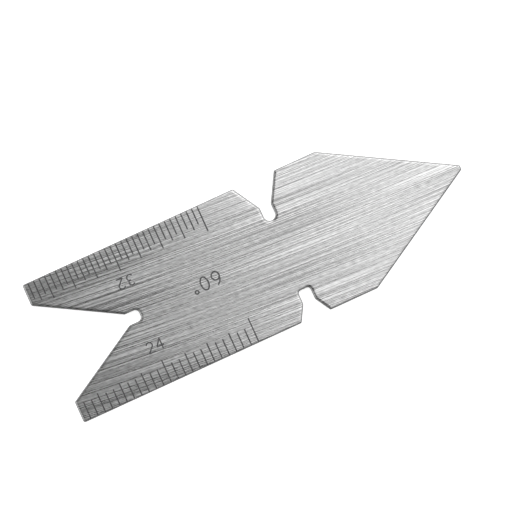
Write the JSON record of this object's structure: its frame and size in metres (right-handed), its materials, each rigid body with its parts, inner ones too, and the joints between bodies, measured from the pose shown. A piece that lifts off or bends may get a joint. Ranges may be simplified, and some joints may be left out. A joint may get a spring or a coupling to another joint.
{
  "type": "centre gauge",
  "caption": "Flat brushed steel centre gauge with a pointed end, a fishtail end, V notches in both edges and engraved inch scales, for setting screw-cutting tools.",
  "frame": {"origin": "middle of the plate's bounding box in plan, on the back face that it lies on", "axes": "+X along the plate towards its 60 degree point, +Y across it towards the edge with the scale of 32nds, +Z out of the front face"},
  "size_m": [0.0594, 0.02, 0.001],
  "materials": {
    "brushed_steel": "brushed along the length, with dark etched marks"
  },
  "bodies": {
    "root": {"gauge_plate": "brushed_steel"}
  },
  "joints": []
}
